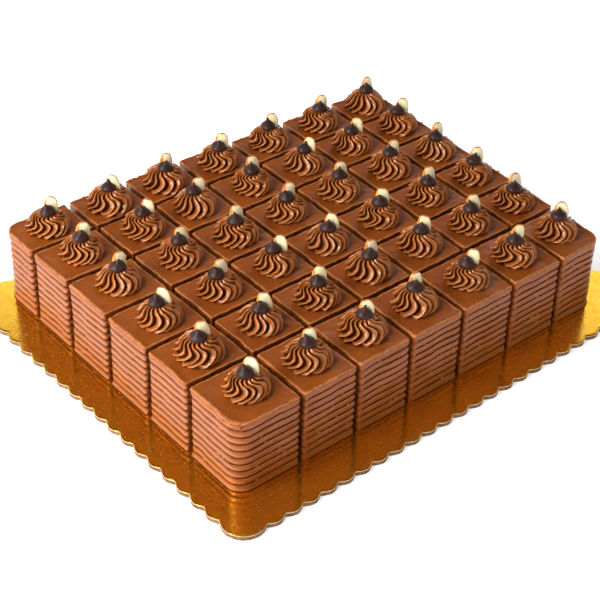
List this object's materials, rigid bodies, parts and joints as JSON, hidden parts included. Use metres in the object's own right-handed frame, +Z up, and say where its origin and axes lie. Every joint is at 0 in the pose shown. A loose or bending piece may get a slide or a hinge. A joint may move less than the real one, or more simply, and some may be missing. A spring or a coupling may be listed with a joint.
{
  "type": "sheet cake",
  "caption": "Pre-cut chocolate sheet cake with combed icing sides and a piped rosette, chocolate drop and nut half on each square, on a scalloped gold cake board.",
  "frame": {"origin": "middle of the cake board's underside", "axes": "+Z up, +X along the cake's long side of the combed front, +Y along its short side, away from the front corner"},
  "size_m": [0.4146, 0.344, 0.0898],
  "materials": {
    "gold_foil": "glossy metallised gold foil on corrugated board, brown paper edge and underside",
    "chocolate_icing": "satin milk chocolate buttercream, combed on the outer sides",
    "chocolate_crumb": "dark cut sponge crumb",
    "dark_chocolate": "satin dark chocolate with a faint bloom",
    "nut_flesh": "smooth pale cream split nut with a toasted rim"
  },
  "bodies": {
    "root": {"cake_board": "gold_foil", "square_row1_col1": "chocolate_icing", "square_row1_col2": "chocolate_icing", "square_row1_col3": "chocolate_icing", "square_row1_col4": "chocolate_icing", "square_row1_col5": "chocolate_icing", "square_row1_col6": "chocolate_icing", "square_row1_col7": "chocolate_icing", "square_row2_col1": "chocolate_icing", "square_row2_col2": "chocolate_icing", "square_row2_col3": "chocolate_icing", "square_row2_col4": "chocolate_icing", "square_row2_col5": "chocolate_icing", "square_row2_col6": "chocolate_icing", "square_row2_col7": "chocolate_icing", "square_row3_col1": "chocolate_icing", "square_row3_col2": "chocolate_icing", "square_row3_col3": "chocolate_icing", "square_row3_col4": "chocolate_icing", "square_row3_col5": "chocolate_icing", "square_row3_col6": "chocolate_icing", "square_row3_col7": "chocolate_icing", "square_row4_col1": "chocolate_icing", "square_row4_col2": "chocolate_icing", "square_row4_col3": "chocolate_icing", "square_row4_col4": "chocolate_icing", "square_row4_col5": "chocolate_icing", "square_row4_col6": "chocolate_icing", "square_row4_col7": "chocolate_icing", "square_row5_col1": "chocolate_icing", "square_row5_col2": "chocolate_icing", "square_row5_col3": "chocolate_icing", "square_row5_col4": "chocolate_icing", "square_row5_col5": "chocolate_icing", "square_row5_col6": "chocolate_icing", "square_row5_col7": "chocolate_icing", "square_row6_col1": "chocolate_icing", "square_row6_col2": "chocolate_icing", "square_row6_col3": "chocolate_icing", "square_row6_col4": "chocolate_icing", "square_row6_col5": "chocolate_icing", "square_row6_col6": "chocolate_icing", "square_row6_col7": "chocolate_icing"}
  },
  "joints": []
}
